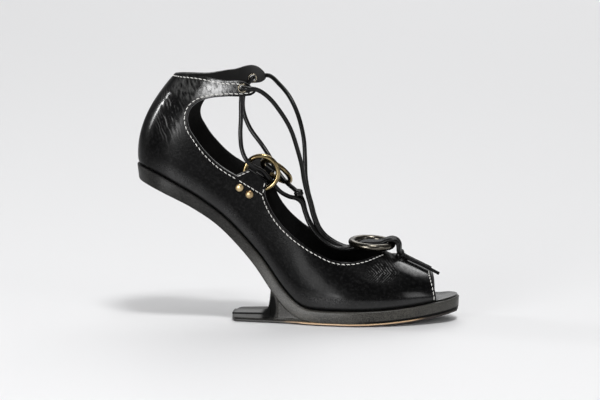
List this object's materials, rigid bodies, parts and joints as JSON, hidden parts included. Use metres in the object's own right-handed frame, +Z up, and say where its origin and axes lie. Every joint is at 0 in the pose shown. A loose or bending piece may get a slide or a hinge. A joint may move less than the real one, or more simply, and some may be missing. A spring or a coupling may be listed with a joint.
{
  "type": "heelless lace-up peep-toe shoe",
  "caption": "Black leather heelless peep-toe shoe with a cantilevered wrapped platform, a low rear spur, an ankle strap, metal rings and cord lacing.",
  "frame": {"origin": "on the floor face of the outsole, in the middle plane of the heel seat, below the ring tabs' front", "axes": "+X from heel to toe, +Y towards the inner side of the foot, +Z up from the floor"},
  "size_m": [0.21, 0.0735, 0.1617],
  "materials": {
    "black_leather": "semi-gloss black with pale stitching",
    "lining_leather": "smooth satin black",
    "sole_wrap": "grained dark pewter grey, semi-gloss",
    "tread_leather": "tan, matt",
    "brass": "polished, slightly worn",
    "pewter": "dark antiqued",
    "eyelet_metal": "pale, polished",
    "lace_leather": "round black leather cord"
  },
  "bodies": {
    "root": {"platform": "sole_wrap", "spur": "sole_wrap", "outsole": "tread_leather", "insole": "lining_leather", "upper": "black_leather", "ring_loop_lateral": "black_leather", "ring_loop_medial": "black_leather", "front_ring": "pewter", "side_ring_lateral": "brass", "side_ring_medial": "brass", "rivet_lateral_1": "brass", "rivet_lateral_2": "brass", "rivet_medial_1": "brass", "rivet_medial_2": "brass", "eyelet_lateral": "eyelet_metal", "eyelet_medial": "eyelet_metal", "lace_lateral": "lace_leather", "lace_medial": "lace_leather", "lace_knot": "lace_leather", "tie_knot": "lace_leather", "tie_end_long": "lace_leather", "tie_end_short": "lace_leather"}
  },
  "joints": []
}
